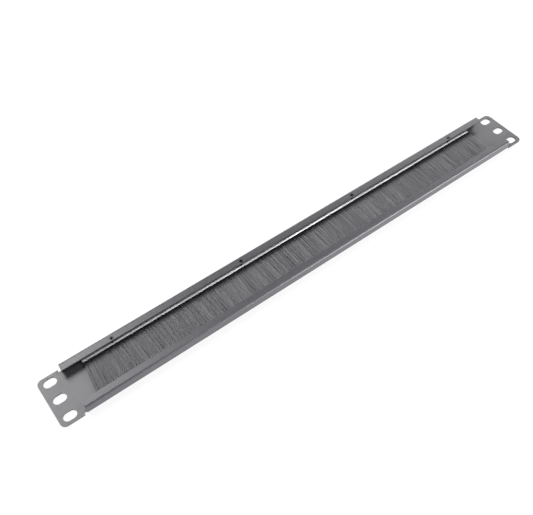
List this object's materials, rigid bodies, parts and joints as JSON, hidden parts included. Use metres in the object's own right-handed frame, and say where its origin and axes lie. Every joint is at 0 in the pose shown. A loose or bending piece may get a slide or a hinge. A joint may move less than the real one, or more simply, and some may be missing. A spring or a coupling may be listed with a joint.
{
  "type": "rack brush strip panel",
  "caption": "Folded sheet panel for a 19-inch rack, one unit high, with slotted ears and a cable opening closed by a strip brush that set screws clamp in its upper fold.",
  "frame": {"origin": "middle of the front face's plane, under the centre of the panel as it lies on that face", "axes": "+X along the rack from ear to ear, +Y up the rack face, towards the brush channel, +Z to the rear, out of the back of the front face"},
  "size_m": [0.4826, 0.0436, 0.0091],
  "materials": {
    "grey_powder_coat": "semi-matt fine-texture grey powder coat",
    "bright_channel": "bright rolled strip",
    "steel_wire": "drawn wire",
    "nylon_bristle": "dark grey nylon filaments",
    "screw_steel": "blackened steel"
  },
  "bodies": {
    "root": {"panel": "grey_powder_coat", "brush_channel": "bright_channel", "core_wire": "steel_wire", "bristles": "nylon_bristle", "clamp_screws": "screw_steel"}
  },
  "joints": []
}
